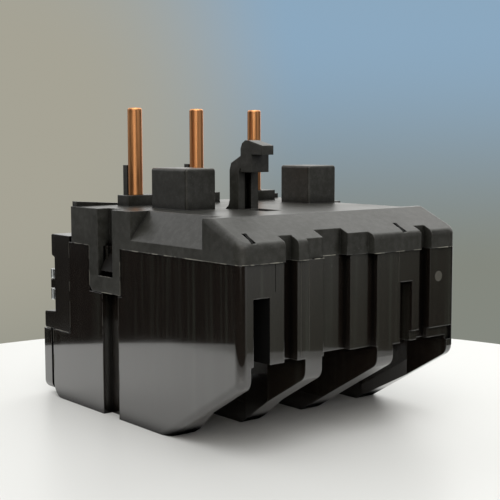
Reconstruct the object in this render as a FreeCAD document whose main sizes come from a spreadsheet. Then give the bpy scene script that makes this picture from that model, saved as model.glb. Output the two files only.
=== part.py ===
import FreeCAD, Part
import Sketcher
import math
import os
import re

# Three-pole thermal overload relay with plug-in line pins.
# X runs across the poles, +Y points to the rear, +Z up to the pins.
# Origin: centre of the standing plane, midway between the shroud's front and the cover's rear.
# Lengths along Y are counted from the heel, the rear end of the flat feet.

Vector = FreeCAD.Vector
doc = FreeCAD.newDocument("ThermalOverloadRelay")

# ---------------------------------------------------------------- driving dimensions

sizes = [
    ("polePitch", 20.0, "pole spacing"),
    ("poleSide", 15.0, "outer pole to the cover's side"),
    ("baseInset", 0.2, "base side behind cover side"),
    ("partLevel", 43.1, "parting plane of base and cover"),
    ("deckLevel", 52.6, "top face of the cover"),
    ("rearFace", 27.4, "base rear face"),
    ("coverRear", 27.9, "cover rear face"),
    ("ridgeRear", 16.5, "rear end of the flat deck"),
    ("slopeFoot", 47.4, "height where the cover's rear slope ends"),
    ("toeFront", 54.6, "base toe, in front of the origin"),
    ("toeLevel", 18.6, "top of the base toe"),
    ("bodyFront", 45.3, "upper base front"),
    ("coverFront", 43.5, "cover front"),
    ("wall", 2.0, "front and roof wall"),
    ("gap", 0.3, "clearance between parts that only pass each other"),
    ("fit", 0.05, "radial clearance of a running fit"),
    ("slopeTop", 16.2, "height where the underside slope meets the rear"),
    ("toeRadius", 4.0, "toe bottom rounding"),
    ("heelRadius", 3.0, "rounding between underside slope and rear"),
    ("cornerRadius", 1.8, "upright rear corners of the base"),
    ("coverCorner", 3.2, "upright rear corners of the cover"),
    ("coverRounding", 1.6, "rounding at the foot of the cover's slope"),
    ("over", 1.0, "cutting tools run past the faces"),
    ("weld", 0.5, "bite of fused parts into each other"),
    ("contact", 0.05, "clearance between faces that rest on each other"),
    ("pocketHalf", 7.0, "half width of a terminal pocket"),
    ("pocketTop", 20.6, "ceiling of the terminal pockets"),
    ("toePocketTop", 16.6, "ceiling of the pockets inside the toe"),
    ("toeWall", 2.2, "front wall of the toe"),
    ("chamberFloor", 23.0, "floor of the mechanism chamber"),
    ("chamberSide", 4.0, "chamber wall behind the cover side"),
    ("pocketSide", 3.2, "outer pockets at the rear, from the cover side"),
    ("flareInner", 4.0, "first pocket at the rear, from its pole inwards"),
    ("flareWide", 11.0, "middle pocket at the rear, right edge"),
    ("flareLeft", 7.7, "third pocket at the rear, from its pole inwards"),
    ("flareStart", 2.0, "pockets start to flare, behind the heel"),
    ("flareEnd", 14.0, "pockets end their flare, behind the heel"),
    ("chamberRear", 18.0, "rear wall of the chamber, inside"),
    ("ribThick", 1.6, "partition between poles"),
    ("ribFront", 28.0, "front end of the partitions"),
    ("coreRear", 23.6, "shaft behind the rear windows, rear side"),
    ("coreFront", 20.0, "shaft behind the rear windows, front side"),
    ("coreTop", 40.0, "shaft behind the rear windows, top"),
    ("windowTop", 35.5, "rear windows, top"),
    ("windowRight", 6.2, "right rear window's middle, from the cover side"),
    ("windowRightWide", 4.6, "right rear window, across"),
    ("windowLeft", 16.8, "left rear window's middle"),
    ("windowLeftWide", 4.2, "left rear window, across"),
    ("grooveDepth", 2.6, "rear ventilation grooves"),
    ("grooveRight", 20.4, "right rear groove's middle"),
    ("grooveRightWide", 3.9, "right rear groove, across"),
    ("grooveLeft", 23.3, "left rear groove's middle"),
    ("grooveLeftWide", 3.8, "left rear groove, across"),
    ("recessRight", 10.5, "rear recess, right edge"),
    ("recessStep", 0.6, "rear recess, edge of the deep part"),
    ("recessLeft", 6.7, "rear recess, left edge, left of the middle"),
    ("recessDeep", 3.6, "rear recess, deep part"),
    ("recessShallow", 1.6, "rear recess, shallow part"),
    ("skirtTop", 23.1, "set-back skirt at the left foot, top"),
    ("skirtDepth", 0.8, "set-back skirt at the left foot, depth"),
    ("skirtSide", 1.6, "skirt's outer end, from the cover side"),
    ("notchRight", 15.6, "recess in the cover's slope, right edge"),
    ("notchMiddle", 10.5, "recess in the cover's slope, edge of the deep part"),
    ("notchStep", 1.9, "recess in the cover's slope, end of the deep part"),
    ("notchLeft", 4.9, "recess in the cover's slope, left edge, left of the middle"),
    ("notchFirst", 0.9, "recess in the cover's slope, first depth"),
    ("notchDeep", 4.1, "recess in the cover's slope, deep part"),
    ("notchLast", 1.75, "recess in the cover's slope, last depth"),
    ("slitWide", 1.0, "moulding slits in the slope, across"),
    ("slitRight", 4.3, "right moulding slit, from the cover side"),
    ("slitLeft", 16.4, "left moulding slit, left of the middle"),
    ("slitLong", 4.0, "moulding slits, along"),
    ("slitRear", 0.6, "moulding slits, from the cover's rear"),
    ("slitFoot", 45.6, "moulding slits, bottom"),
    ("latchFront", 34.6, "side latch tab, front edge"),
    ("latchRear", 20.0, "side latch tab, rear edge"),
    ("latchFoot", 31.5, "side latch tab, lower edge"),
    ("latchThick", 1.7, "side latch tab thickness"),
    ("latchCorner", 1.2, "side latch tab, cut corner"),
    ("latchSlotFront", 30.3, "window in the latch tab, front"),
    ("latchSlotRear", 23.4, "window in the latch tab, rear"),
    ("latchSlotFoot", 35.6, "window in the latch tab, lower edge"),
    ("slotDepth", 3.6, "depth of the slot above the latch"),
    ("catchFoot", 36.9, "catch wedge in the latch window, lower edge"),
    ("catchInset", 0.6, "catch wedge tip behind the cover side"),
    ("sideGrooveFront", 28.8, "side groove of the base, front"),
    ("sideGrooveRear", 21.3, "side groove of the base, rear"),
    ("sideGrooveDepth", 2.5, "side groove of the base, depth"),
    ("bevelFront", 15.0, "side bevel of the cover, front end"),
    ("bevelRear", 14.2, "side bevel of the cover, rear end"),
    ("bevelFoot", 45.6, "side bevel, lower edge"),
    ("bevelSide", 5.7, "side bevel, width at the deck"),
    ("stopTop", 62.8, "contactor stop blocks, top"),
    ("stopRounding", 0.7, "edges of the stop blocks"),
    ("stopRight", 18.0, "right stop block, middle"),
    ("stopRightWide", 9.2, "right stop block, across"),
    ("stopRightDeep", 15.4, "right stop block, along"),
    ("stopRightRear", 9.0, "right stop block, rear face in front of the heel"),
    ("stopLeft", 24.9, "left stop block, middle, left of the middle"),
    ("stopLeftWide", 10.0, "left stop block, across"),
    ("stopLeftDeep", 11.8, "left stop block, along"),
    ("stopLeftRear", 11.5, "left stop block, rear face in front of the heel"),
    ("collarTop", 55.4, "collars round the line pins, top"),
    ("collarRight", 4.0, "collars, from the pin to the right"),
    ("collarLeft", 6.0, "collars, from the pin to the left"),
    ("collarHalf", 2.6, "collars, half depth"),
    ("postHalf", 0.9, "guard posts, half width"),
    ("postFront", 4.6, "guard posts, front face before the pins"),
    ("postTop", 63.2, "guard posts, top"),
    ("rampHigh", 1.3, "ramps on the front edge, outer height"),
    ("rampLow", 0.3, "ramps on the front edge, inner height"),
    ("rampLong", 15.0, "ramps on the front edge, along the edge"),
    ("rampDeep", 2.0, "ramps on the front edge, depth"),
    ("hookSide", 10.4, "right flank of the latching hook"),
    ("hookWide", 6.25, "width of the hook stem"),
    ("hookBlock", 5.5, "width of the hook's block"),
    ("hookNose", 3.5, "width of the hook's nose"),
    ("hookRear", 3.8, "rear face of the hook stem, in front of the origin"),
    ("hookDeep", 3.6, "depth of the hook stem"),
    ("hookTop", 69.7, "top of the hook"),
    ("hookBlockFoot", 7.8, "hook's block, lower face below the top"),
    ("hookBlockReach", 5.0, "hook's block, rear face behind the stem"),
    ("hookNoseFoot", 3.5, "hook's nose, underside below the top"),
    ("hookNoseReach", 9.2, "hook's nose, rear face behind the stem"),
    ("neckFront", 4.4, "hook's neck, behind the stem's front"),
    ("channelRight", 2.0, "channel in the stem, from the hook's right flank"),
    ("channelWide", 2.0, "channel in the stem, across"),
    ("channelDeep", 1.8, "channel in the stem, depth"),
    ("pinLine", 35.5, "plane of the line pins, in front of the origin"),
    ("pinRadius", 1.9, "line pin"),
    ("pinNeck", 1.7, "line pin below the collar"),
    ("pinChamfer", 0.35, "line pin tip"),
    ("pinFloat", 0.4, "sideways place of the third line pin in its collar"),
    ("pinTop", 78.2, "line pin tip"),
    ("strapHalf", 4.0, "half width of the copper straps"),
    ("strapThick", 1.4, "copper strap thickness"),
    ("strapLevel", 40.6, "underside of the line strap"),
    ("rootLine", 9.6, "face that the bimetals are welded to"),
    ("stripTip", 26.0, "free end of the bimetals, in front of the origin"),
    ("stripFoot", 28.0, "lower edge of the bimetals"),
    ("stripTop", 36.0, "upper edge of the bimetals"),
    ("stripThick", 1.0, "bimetal thickness"),
    ("coilRadius", 5.6, "heater winding, mean radius"),
    ("coilFront", 16.0, "heater winding, front end"),
    ("coilRear", 5.0, "heater winding, rear end"),
    ("coilTurns", 6.0, "heater turns"),
    ("ribbonWide", 1.6, "heater ribbon"),
    ("ribbonThick", 0.5, "heater ribbon"),
    ("loadPlane", 42.6, "front face of the load straps"),
    ("loadFoot", 3.0, "lower end of the load straps"),
    ("cageHalf", 6.6, "terminal cage, half width"),
    ("cageFoot", 4.6, "terminal cage, lower edge"),
    ("cageTop", 15.8, "terminal cage, upper edge"),
    ("cageWall", 2.0, "terminal cage, front and rear wall"),
    ("cageSide", 1.4, "terminal cage, side walls"),
    ("cageMouth", 5.6, "conductor space of an open cage"),
    ("screwRadius", 2.5, "main terminal screw shank"),
    ("screwHead", 4.6, "main terminal screw head radius"),
    ("screwHeadDeep", 2.9, "main terminal screw head height"),
    ("screwLevel", 10.2, "main terminal screws, height"),
    ("shroudFront", 60.0, "terminal shroud front face"),
    ("shroudRear", 55.7, "terminal shroud rim"),
    ("shroudFoot", 1.6, "terminal shroud lower edge"),
    ("shroudTop", 18.4, "terminal shroud upper edge"),
    ("shroudPlate", 2.2, "terminal shroud plate"),
    ("shroudWall", 1.6, "terminal shroud rim"),
    ("shroudEdge", 0.5, "terminal shroud front edges"),
    ("driverRadius", 3.9, "driver holes in the shroud"),
    ("driverHalf", 3.2, "cross recess of the terminal screws, half length"),
    ("driverDeep", 1.3, "cross recess of the terminal screws, depth"),
    ("panelSide", 0.4, "front panel side behind the cover side"),
    ("panelFace", 53.5, "front panel face"),
    ("browFace", 55.0, "front panel brow"),
    ("browLevel", 38.4, "lower edge of the brow"),
    ("panelTop", 44.6, "front panel top"),
    ("ledgeFront", 59.3, "front panel ledge"),
    ("ledgeTop", 23.6, "front panel ledge top"),
    ("ledgeFall", 0.5, "fall of the ledge and the brow towards their edges"),
    ("panelRounding", 0.6, "front panel's front edges"),
    ("panelSill", 1.4, "front panel, sill below the rooms"),
    ("roomLeft", 0.8, "front panel's room, past the sealing cover's left end"),
    ("controlLevel", 30.6, "height of dial and buttons"),
    ("dialSide", 7.1, "dial centre, from the sealing cover's right end"),
    ("dialRadius", 4.4, "current dial"),
    ("camRadius", 2.4, "dial's cam"),
    ("camOffset", 0.8, "dial's cam, off the dial's axis"),
    ("stopPlace", 14.0, "stop button centre"),
    ("tripPlace", 8.0, "trip lever pivot and indicator"),
    ("indicatorHalf", 0.9, "trip indicator, half width"),
    ("indicatorHigh", 1.4, "trip indicator, half height"),
    ("indicatorRear", 1.9, "trip indicator's rear end, in front of the trip lever"),
    ("indicatorWay", 1.8, "room for the trip indicator's swing"),
    ("resetPlace", 2.0, "reset button centre"),
    ("buttonFace", 55.1, "front of dial and buttons"),
    ("resetRadius", 2.2, "reset button"),
    ("rim", 0.8, "flanges of the controls, wider than their heads"),
    ("dialShaft", 2.0, "dial shaft"),
    ("camFront", 5.5, "dial's eccentric, in front of the trip lever"),
    ("camLong", 2.0, "dial's eccentric, length"),
    ("slotDeep", 0.9, "screwdriver slot of the dial, depth"),
    ("slotHalf", 0.6, "screwdriver slots, half width"),
    ("stopHalf", 2.5, "stop button, half width"),
    ("stopHigh", 3.0, "stop button, half height"),
    ("buttonRod", 1.4, "button rods"),
    ("buttonTravel", 2.3, "button travel"),
    ("flangeThick", 1.0, "flanges behind the front panel"),
    ("springWire", 0.3, "button springs, wire radius"),
    ("springTurns", 4.0, "button springs, turns"),
    ("lidFace", 56.6, "sealing cover, outer face"),
    ("lidWall", 1.1, "sealing cover wall"),
    ("lidRounding", 0.7, "sealing cover, front edges"),
    ("lidLeft", 1.6, "sealing cover left end, left of the middle"),
    ("lidSide", 1.6, "sealing cover right end, from its hinge axis"),
    ("lidFoot", 24.8, "sealing cover lower edge"),
    ("lidTop", 36.4, "sealing cover upper edge"),
    ("hingeSide", 1.8, "sealing cover hinge axis, from the cover side"),
    ("hingeAlong", 55.1, "sealing cover hinge axis, in front of the origin"),
    ("knuckleRadius", 1.5, "sealing cover hinge knuckles"),
    ("knuckleFoot", 26.7, "hinge, lower end"),
    ("knuckleTop", 35.0, "hinge, upper end"),
    ("knuckleLower", 29.9, "panel's middle knuckle, lower end"),
    ("knuckleUpper", 32.2, "panel's middle knuckle, upper end"),
    ("hingePin", 0.6, "sealing cover hinge pin"),
    ("auxFirst", 6.5, "first auxiliary terminal, left of the middle"),
    ("auxSide", 6.0, "last auxiliary terminal, from the cover side"),
    ("auxWall", 1.1, "wall between auxiliary terminal wells"),
    ("auxLevel", 30.0, "auxiliary screws, height"),
    ("auxShank", 1.7, "auxiliary screw shank"),
    ("auxHead", 2.7, "auxiliary screw head"),
    ("auxPlate", 1.6, "auxiliary terminal plate"),
    ("auxPlateHigh", 3.2, "auxiliary terminal plate, half height"),
    ("tangHalf", 0.6, "auxiliary terminal tangs, half width"),
    ("tangFoot", 34.0, "auxiliary terminal tangs, lower edge"),
    ("tangTop", 36.0, "auxiliary terminal tangs, upper edge"),
    ("wellTop", 36.8, "auxiliary terminal wells, top"),
    ("washerThick", 1.1, "auxiliary terminal washers"),
    ("auxHeadDeep", 2.0, "auxiliary screw heads, height"),
    ("auxSlotHalf", 0.4, "cross recess of the auxiliary screws, half width"),
    ("auxSlotLong", 2.0, "cross recess of the auxiliary screws, half length"),
    ("tangEnd", 3.0, "spare tangs end in front of the trip lever"),
    ("restRear", 3.5, "rest contact blade's rear face, behind the trip lever's front"),
    ("workRear", 4.1, "work contact blade's rear face, in front of the trip lever"),
    ("fixedThick", 1.0, "fixed contact blades"),
    ("workHigh", 0.2, "work contact rivet, proud of its blade"),
    ("rivetHigh", 1.0, "contact rivets, height"),
    ("bladeEnd", 2.0, "moving contact blade, past its rivets"),
    ("washerHalf", 2.9, "auxiliary terminal washers, half size"),
    ("auxTravel", 2.0, "auxiliary screw travel"),
    ("sliderFront", 25.5, "trip sliders, front face"),
    ("sliderDeep", 2.0, "trip sliders, along"),
    ("sliderSide", 0.8, "trip sliders' end, from the compensation pivot"),
    ("sliderTravel", 2.0, "trip slider travel"),
    ("mainFoot", 37.0, "main slider, underside"),
    ("mainTop", 39.4, "main slider, top"),
    ("lowerFoot", 25.0, "differential slider, underside"),
    ("lowerTop", 27.4, "differential slider, top"),
    ("leverFront", 33.0, "trip lever front face"),
    ("lugThick", 1.6, "slider lugs beside the bimetals"),
    ("crankThick", 1.2, "arms of the compensation lever"),
    ("crankReach", 4.0, "inner arm of the compensation lever"),
    ("leverLap", 1.5, "trip lever behind the compensation lever's inner arm"),
    ("leverArmHalf", 1.5, "forward arm of the trip lever, half width"),
    ("leverArmLong", 5.0, "forward arm of the trip lever, length"),
    ("contactReach", 4.0, "trip lever's left end, from the moving contact"),
    ("leverThick", 2.0, "trip lever thickness"),
    ("leverFoot", 27.0, "trip lever lower edge"),
    ("leverTop", 33.0, "trip lever upper edge"),
    ("pivotRadius", 1.25, "lever pivots"),
    ("pivotSocket", 1.2, "lever pivots, depth in the floor"),
    ("bossWall", 1.0, "bosses and hubs round the lever pivots"),
    ("crankSide", 3.8, "compensation lever pivot, from the chamber's side"),
    ("contactSide", 5.0, "moving contact, from the chamber's side"),
    ("contactRadius", 1.5, "contact rivets"),
    ("bladeThick", 0.5, "moving contact blade"),
]

sheet = doc.addObject("Spreadsheet::Sheet", "Sizes")
for row, (alias, number, note) in enumerate(sizes, 1):
    sheet.set("A%d" % row, note)
    sheet.set("B%d" % row, str(number))
    sheet.setAlias("B%d" % row, alias)
doc.recompute()
aliases = {alias for alias, number, note in sizes}

# Lengths that follow from the driving ones.
derived = {
    "halfWidth": "(polePitch+poleSide)",
    "chamberHalf": "(halfWidth-chamberSide)",
    "panelHalf": "(halfWidth-panelSide)",
    "bevelTop": "(halfWidth-bevelSide)",
    "hingeAcross": "(halfWidth-hingeSide)",
    "lidRight": "(hingeAcross-lidSide)",
    "dialPlace": "(lidRight-dialSide)",
    "auxPitch": "((halfWidth-auxFirst-auxSide)/3)",
    "auxHalf": "(auxPitch/2-auxWall/2)",
    "crankPlace": "(chamberHalf-crankSide)",
    "sliderHalf": "(crankPlace-sliderSide)",
    "contactPlace": "(contactSide-chamberHalf)",
    "heelShift": "((shroudFront-coverRear)/2)",
}


def bind(text):
    """Spreadsheet expression of a formula written with bare size names."""
    def named(found):
        word = found.group(0)
        if word in derived:
            return bind(derived[word])
        return "Sizes." + word if word in aliases else word
    return re.sub(r"[A-Za-z]\w*", named, text)


def size(formula):
    """Present value of a formula written with bare size names."""
    return float(sheet.evalExpression(bind(formula)))


# ---------------------------------------------------------------- building blocks

def placed(axis, formula):
    """A position along one axis, moved from the heel to the model's origin."""
    return "(%s)+heelShift" % formula if axis == "y" else formula


def box(label, x, y, z):
    """A block from three (low, high) pairs of formulas."""
    block = doc.addObject("Part::Box", label)
    for axis, side, (low, high) in zip("xyz", ("Length", "Width", "Height"), (x, y, z)):
        block.setExpression(side, bind("(%s)-(%s)" % (high, low)))
        block.setExpression("Placement.Base." + axis, bind(placed(axis, low)))
    return block


turned = {
    "x": FreeCAD.Rotation(Vector(0, 1, 0), 90),
    "y": FreeCAD.Rotation(Vector(1, 0, 0), -90),
    "z": FreeCAD.Rotation(),
}


def rod(label, axis, radius, centre, span):
    """A cylinder along one axis; centre is given in the other two, in x, y, z order."""
    low, high = span
    place = dict(zip([name for name in "xyz" if name != axis], centre))
    place[axis] = low
    cylinder = doc.addObject("Part::Cylinder", label)
    cylinder.Placement = FreeCAD.Placement(Vector(), turned[axis])
    cylinder.setExpression("Radius", bind(radius))
    cylinder.setExpression("Height", bind("(%s)-(%s)" % (high, low)))
    for name, formula in place.items():
        cylinder.setExpression("Placement.Base." + name, bind(placed(name, formula)))
    return cylinder


def join(label, *pieces):
    union = doc.addObject("Part::MultiFuse", label)
    union.Shapes = list(pieces)
    union.Refine = True
    return union


def cut(label, base, *tools):
    difference = doc.addObject("Part::Cut", label)
    difference.Base = base
    difference.Tool = tools[0] if len(tools) == 1 else join(label + "Tools", *tools)
    difference.Refine = True
    return difference


def piece(label):
    body = doc.addObject("PartDesign::Body", label)
    body.setExpression("Placement.Base.y", bind("heelShift"))
    return body


def rectangle(x, y):
    return [(x[0], y[0]), (x[1], y[0]), (x[1], y[1]), (x[0], y[1])]


def drawing(body, role, loops, level="0"):
    """A sketch on one of the body's own planes: closed loops of (formula, formula) points."""
    plane = [part for part in body.Origin.OriginFeatures if part.Role == role][0]
    sketch = body.newObject("Sketcher::SketchObject", body.Label + "Sketch")
    sketch.AttachmentSupport = [(plane, "")]
    sketch.MapMode = "FlatFace"
    sketch.setExpression("AttachmentOffset.Base.z", bind(level))
    first = 0
    for loop in loops:
        count = len(loop)
        start = [Vector(math.cos(2 * math.pi * step / count), math.sin(2 * math.pi * step / count), 0)
                 for step in range(count)]
        for step in range(count):
            sketch.addGeometry(Part.LineSegment(start[step], start[(step + 1) % count]), False)
        for step in range(count):
            follower = first + (step + 1) % count
            sketch.addConstraint(Sketcher.Constraint("Coincident", first + step, 2, follower, 1))
        for step, point in enumerate(loop):
            for kind, held, formula in zip(("DistanceX", "DistanceY"), start[step], point):
                index = sketch.addConstraint(
                    Sketcher.Constraint(kind, -1, 1, first + step, 1, held))
                sketch.setExpression("Constraints[%d]" % index, bind(formula))
        first += count
    return sketch


def pad(body, sketch, length, symmetric=False, against=False):
    feature = body.newObject("PartDesign::Pad", body.Label + "Pad")
    feature.Profile = sketch
    feature.setExpression("Length", bind(length))
    feature.Midplane = symmetric
    feature.Reversed = against
    body.Tip = feature
    return feature


def pocket(body, sketch, length, symmetric=False, along=True):
    """A cut that runs along the sketch plane's normal, or against it."""
    feature = body.newObject("PartDesign::Pocket", body.Label + "Pocket")
    feature.Profile = sketch
    feature.setExpression("Length", bind(length))
    feature.Midplane = symmetric
    feature.Reversed = along
    body.Tip = feature
    return feature


def fillet(body, radius, chosen):
    """Rounds the edges of the body's last feature whose middle and direction pass the test."""
    doc.recompute()
    base = body.Tip
    names = []
    for number, edge in enumerate(base.Shape.Edges, 1):
        if not isinstance(edge.Curve, Part.Line):
            continue
        middle = edge.valueAt((edge.FirstParameter + edge.LastParameter) / 2)
        if chosen(middle, edge.Curve.Direction):
            names.append("Edge%d" % number)
    feature = body.newObject("PartDesign::Fillet", body.Label + "Fillet")
    feature.Base = (base, names)
    feature.setExpression("Radius", bind(radius))
    body.Tip = feature
    return feature


def near(one, other):
    return abs(one - other) < 0.02


def upright(direction):
    return abs(direction.z) > 0.99


def across(direction):
    return abs(direction.x) > 0.99


poles = {1: "polePitch", 2: "0", 3: "-polePitch"}
pinShift = {1: "", 2: "", 3: "-pinFloat"}
auxiliaries = {number: "-(auxFirst+%d*auxPitch)" % (number - 1) for number in (1, 2, 3, 4)}


# ---------------------------------------------------------------- housing

def baseHousing():
    """Moulded base: three terminal pockets between four feet, mechanism chamber above."""
    body = piece("base_housing")
    side = [("-toeFront", "0"), ("0", "0"), ("rearFace", "slopeTop"), ("rearFace", "partLevel"),
            ("-bodyFront", "partLevel"), ("-bodyFront", "toeLevel"), ("-toeFront", "toeLevel")]
    pad(body, drawing(body, "YZ_Plane", [side]), "2*(halfWidth-baseInset)", symmetric=True)
    half = size("halfWidth-baseInset")
    fillet(body, "toeRadius", lambda mid, way: across(way) and near(mid.y, -size("toeFront"))
           and near(mid.z, 0))
    fillet(body, "heelRadius", lambda mid, way: across(way) and near(mid.y, size("rearFace"))
           and near(mid.z, size("slopeTop")))
    fillet(body, "cornerRadius", lambda mid, way: upright(way) and near(mid.y, size("rearFace"))
           and near(abs(mid.x), half))

    # Terminal pockets: straight between the feet in front, flared to the thin rear ribs.
    flared = []
    rears = {1: ("halfWidth-pocketSide", "polePitch-flareInner"), 2: ("flareWide", "-pocketHalf"),
             3: ("-polePitch+flareLeft", "-halfWidth+pocketSide")}
    for number, pole in poles.items():
        right, left = rears[number]
        flared.append([(pole + "+pocketHalf", "-loadPlane-over"), (pole + "+pocketHalf", "flareStart"),
                       (right, "flareEnd"), (right, "rearFace+over"), (left, "rearFace+over"),
                       (left, "flareEnd"), (pole + "-pocketHalf", "flareStart"),
                       (pole + "-pocketHalf", "-loadPlane-over")])
    pocket(body, drawing(body, "XY_Plane", flared, "-over"), "pocketTop+over")
    toes = [rectangle((pole + "-pocketHalf", pole + "+pocketHalf"),
                      ("-toeFront+toeWall", "-loadPlane")) for pole in poles.values()]
    pocket(body, drawing(body, "XY_Plane", toes, "-over"), "toePocketTop+over")

    # Mechanism chamber with two partitions that part the heaters.
    rib = {"right": "polePitch/2+ribThick/2", "left": "polePitch/2-ribThick/2"}
    room = [("-chamberHalf", "-bodyFront+wall"), ("chamberHalf", "-bodyFront+wall"),
            ("chamberHalf", "chamberRear"), (rib["right"], "chamberRear"),
            (rib["right"], "-ribFront"), (rib["left"], "-ribFront"), (rib["left"], "chamberRear"),
            ("-(%s)" % rib["left"], "chamberRear"), ("-(%s)" % rib["left"], "-ribFront"),
            ("-(%s)" % rib["right"], "-ribFront"), ("-(%s)" % rib["right"], "chamberRear"),
            ("-chamberHalf", "chamberRear")]
    pocket(body, drawing(body, "XY_Plane", [room], "chamberFloor"), "partLevel")

    # Slider guides through the partitions.
    sliderWay = ("-sliderFront-gap", "-sliderFront+sliderDeep+gap")
    ribs = [rectangle(("%s(%s)-weld" % (sign, rib["left" if sign == "" else "right"]),
                       "%s(%s)+weld" % (sign, rib["right" if sign == "" else "left"])), sliderWay)
            for sign in ("", "-")]
    pocket(body, drawing(body, "XY_Plane", ribs, "mainFoot-gap"), "partLevel")
    pocket(body, drawing(body, "XY_Plane", ribs, "lowerFoot-fit"), "lowerTop-lowerFoot+fit+gap")

    # Rear: shafts behind the two windows, the windows, recesses and vertical grooves.
    windows = [("halfWidth-windowRight-windowRightWide/2", "halfWidth-windowRight+windowRightWide/2"),
               ("-windowLeft-windowLeftWide/2", "-windowLeft+windowLeftWide/2")]
    shafts = [rectangle(x, ("coreFront", "coreRear")) for x in windows]
    pocket(body, drawing(body, "XY_Plane", shafts, "-over"), "coreTop+over")
    openings = [rectangle(x, ("pocketTop-over", "windowTop")) for x in windows]
    pocket(body, drawing(body, "XZ_Plane", openings, "-rearFace-over"), "rearFace+over-coreFront-weld")
    back = "rearFace+over"
    ribbed = (("grooveRight-grooveRightWide/2", "grooveRight+grooveRightWide/2"),
              ("-grooveLeft-grooveLeftWide/2", "-grooveLeft+grooveLeftWide/2"))
    grooves = [rectangle(x, ("rearFace-grooveDepth", back)) for x in ribbed]
    grooves.append([("recessRight", back), ("recessRight", "rearFace-recessDeep"),
                    ("recessStep", "rearFace-recessDeep"), ("recessStep", "rearFace-recessShallow"),
                    ("-recessLeft", "rearFace-recessShallow"), ("-recessLeft", back)])
    pocket(body, drawing(body, "XY_Plane", grooves, "-over"), "partLevel+2*over")
    skirt = rectangle(("-halfWidth+skirtSide", windows[1][0]), ("pocketTop-over", "skirtTop"))
    pocket(body, drawing(body, "XZ_Plane", [skirt], "-rearFace-over"), "skirtDepth+over")

    # Sides: seat of the cover's latch tab, groove below it and the catch wedge.
    for sign in ("", "-"):
        inner = "%s(halfWidth-latchThick-gap)" % sign
        outer = "%s(halfWidth+over)" % sign
        seat = rectangle((inner, outer), ("-latchFront-gap", "-latchRear+gap"))
        pocket(body, drawing(body, "XY_Plane", [seat], "latchFoot-gap"), "partLevel")
        depth = "%s(halfWidth-baseInset-sideGrooveDepth)" % sign
        groove = rectangle((depth, outer), ("-sideGrooveFront", "-sideGrooveRear"))
        pocket(body, drawing(body, "XY_Plane", [groove], "-over"), "partLevel+2*over")
    doc.recompute()

    catches = []
    for name, sign in (("Right", ""), ("Left", "-")):
        wedge = piece("catch" + name)
        root = "%s(halfWidth-baseInset-sideGrooveDepth-weld)" % sign
        tip = "%s(halfWidth-catchInset)" % sign
        ramp = [(root, "catchFoot"), (tip, "catchFoot"), (root, "partLevel-over")]
        pad(wedge, drawing(wedge, "XZ_Plane", [ramp], "latchSlotRear+gap"),
            "latchSlotFront-latchSlotRear-2*gap")
        catches.append(wedge)

    bosses = [rod("tripBoss", "z", "pivotRadius+bossWall", ("tripPlace", "-leverFront+leverThick/2"),
                  ("chamberFloor-weld", "leverFoot-over-2*fit")),
              rod("crankBoss", "z", "pivotRadius+bossWall", ("crankPlace", "-leverFront"),
                  ("chamberFloor-weld", "leverFoot-over-2*fit"))]
    whole = join("baseWhole", body, *(catches + bosses))

    toeWay = ("-toeFront-over", "-toeFront+toeWall+over")
    wallWay = ("-bodyFront-over", "-bodyFront+wall+over")
    openings = []
    for number, pole in poles.items():
        openings.append(rod("screwHole%d" % number, "y", "screwRadius+gap", (pole, "screwLevel"), toeWay))
        openings.append(box("strapSlot%d" % number, (pole + "-strapHalf-gap", pole + "+strapHalf+gap"),
                            ("-loadPlane-gap", "-loadPlane+strapThick+gap"),
                            ("toePocketTop-over", "chamberFloor+over")))
    for number, place in auxiliaries.items():
        openings.append(rod("auxHole%d" % number, "y", "auxShank+gap", (place, "auxLevel"), wallWay))
        openings.append(box("tangSlot%d" % number, (place + "-tangHalf-gap", place + "+tangHalf+gap"),
                            wallWay, ("tangFoot-gap", "tangTop+gap")))
    openings.append(rod("dialHole", "y", "camRadius+camOffset+gap", ("dialPlace", "controlLevel"), wallWay))
    openings.append(rod("stopHole", "y", "buttonRod+gap", ("stopPlace", "controlLevel"), wallWay))
    openings.append(rod("resetHole", "y", "buttonRod+gap", ("resetPlace", "controlLevel"), wallWay))
    openings.append(box("indicatorSlot", ("tripPlace-indicatorHalf-gap", "tripPlace+indicatorHalf+indicatorWay"),
                        wallWay, ("controlLevel-indicatorHigh-2*gap", "controlLevel+indicatorHigh+2*gap")))
    openings.append(rod("tripSocket", "z", "pivotRadius", ("tripPlace", "-leverFront+leverThick/2"),
                        ("chamberFloor-pivotSocket", "leverFoot")))
    openings.append(rod("crankSocket", "z", "pivotRadius", ("crankPlace", "-leverFront"),
                        ("chamberFloor-pivotSocket", "leverFoot")))
    return cut("base_housing_node", whole, *openings)


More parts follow.
